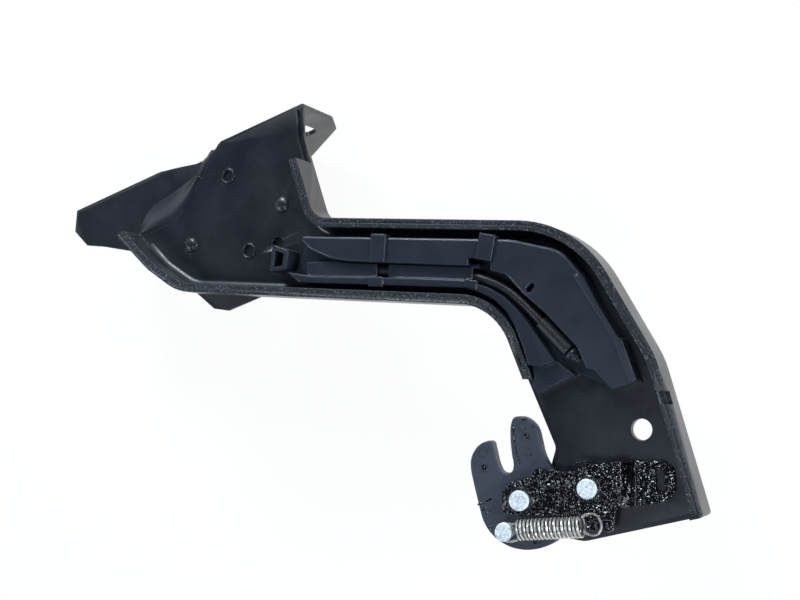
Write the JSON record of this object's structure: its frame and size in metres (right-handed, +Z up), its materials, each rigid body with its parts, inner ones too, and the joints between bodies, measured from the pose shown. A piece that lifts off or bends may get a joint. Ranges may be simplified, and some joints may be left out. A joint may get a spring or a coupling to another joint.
{
  "type": "sliding door roller guide",
  "caption": "Pressed steel arm for a vehicle's sliding door, with a spring-loaded claw latch, a cable duct in its channel and guide rollers.",
  "frame": {"origin": "on the door face, midway between the two slots", "axes": "+Y out of the door face, towards the door; +X along the slots' row, towards the claw; +Z up, from the web's back to its front"},
  "size_m": [0.2587, 0.2235, 0.0791],
  "materials": {
    "coated_steel": "satin",
    "gloss_coat": "gloss",
    "claw_plastic": "satin",
    "duct_plastic": "satin",
    "zinc": "satin",
    "spring_steel": "satin",
    "tyre_plastic": "satin",
    "cable_black": "matte"
  },
  "bodies": {
    "arm": {"door_bracket": "coated_steel", "arm_channel": "coated_steel", "latch_bracket": "gloss_coat", "pivot_pin": "zinc", "rivet_pin": "zinc", "claw_spring": "spring_steel", "duct_tray": "duct_plastic", "duct_cover": "duct_plastic", "duct_rail": "duct_plastic", "duct_strap_left": "duct_plastic", "duct_strap_right": "duct_plastic", "buckle_clip": "duct_plastic", "cable_tube": "cable_black", "cable_sleeve": "cable_black", "cable_ferrule": "cable_black", "roller_washer_a": "zinc", "roller_washer_b": "zinc"},
    "claw": {"claw_plate": "zinc", "claw_jacket": "claw_plastic", "claw_bush": "zinc", "spring_pin": "zinc"},
    "roller_a": {"roller_hub_a": "zinc", "roller_tyre_a": "tyre_plastic"},
    "roller_b": {"roller_hub_b": "zinc", "roller_tyre_b": "tyre_plastic"}
  },
  "joints": [
    {"name": "claw_pivot", "type": "hinge", "parent": "arm", "child": "claw", "pos_m": [0.11446, -0.19811, 0.0315], "axis": [0, 0, 1], "range_deg": [-38, 0], "stiffness_Nm_per_rad": 0.4, "springref_deg": 28.65, "deforming": ["claw_spring"]},
    {"name": "roller_a_spin", "type": "hinge", "parent": "arm", "child": "roller_a", "pos_m": [0.11446, -0.19811, 0.0187], "axis": [0, 0, 1], "continuous": true},
    {"name": "roller_b_spin", "type": "hinge", "parent": "arm", "child": "roller_b", "pos_m": [0.1425, -0.20129, 0.0187], "axis": [0, 0, 1], "continuous": true}
  ]
}
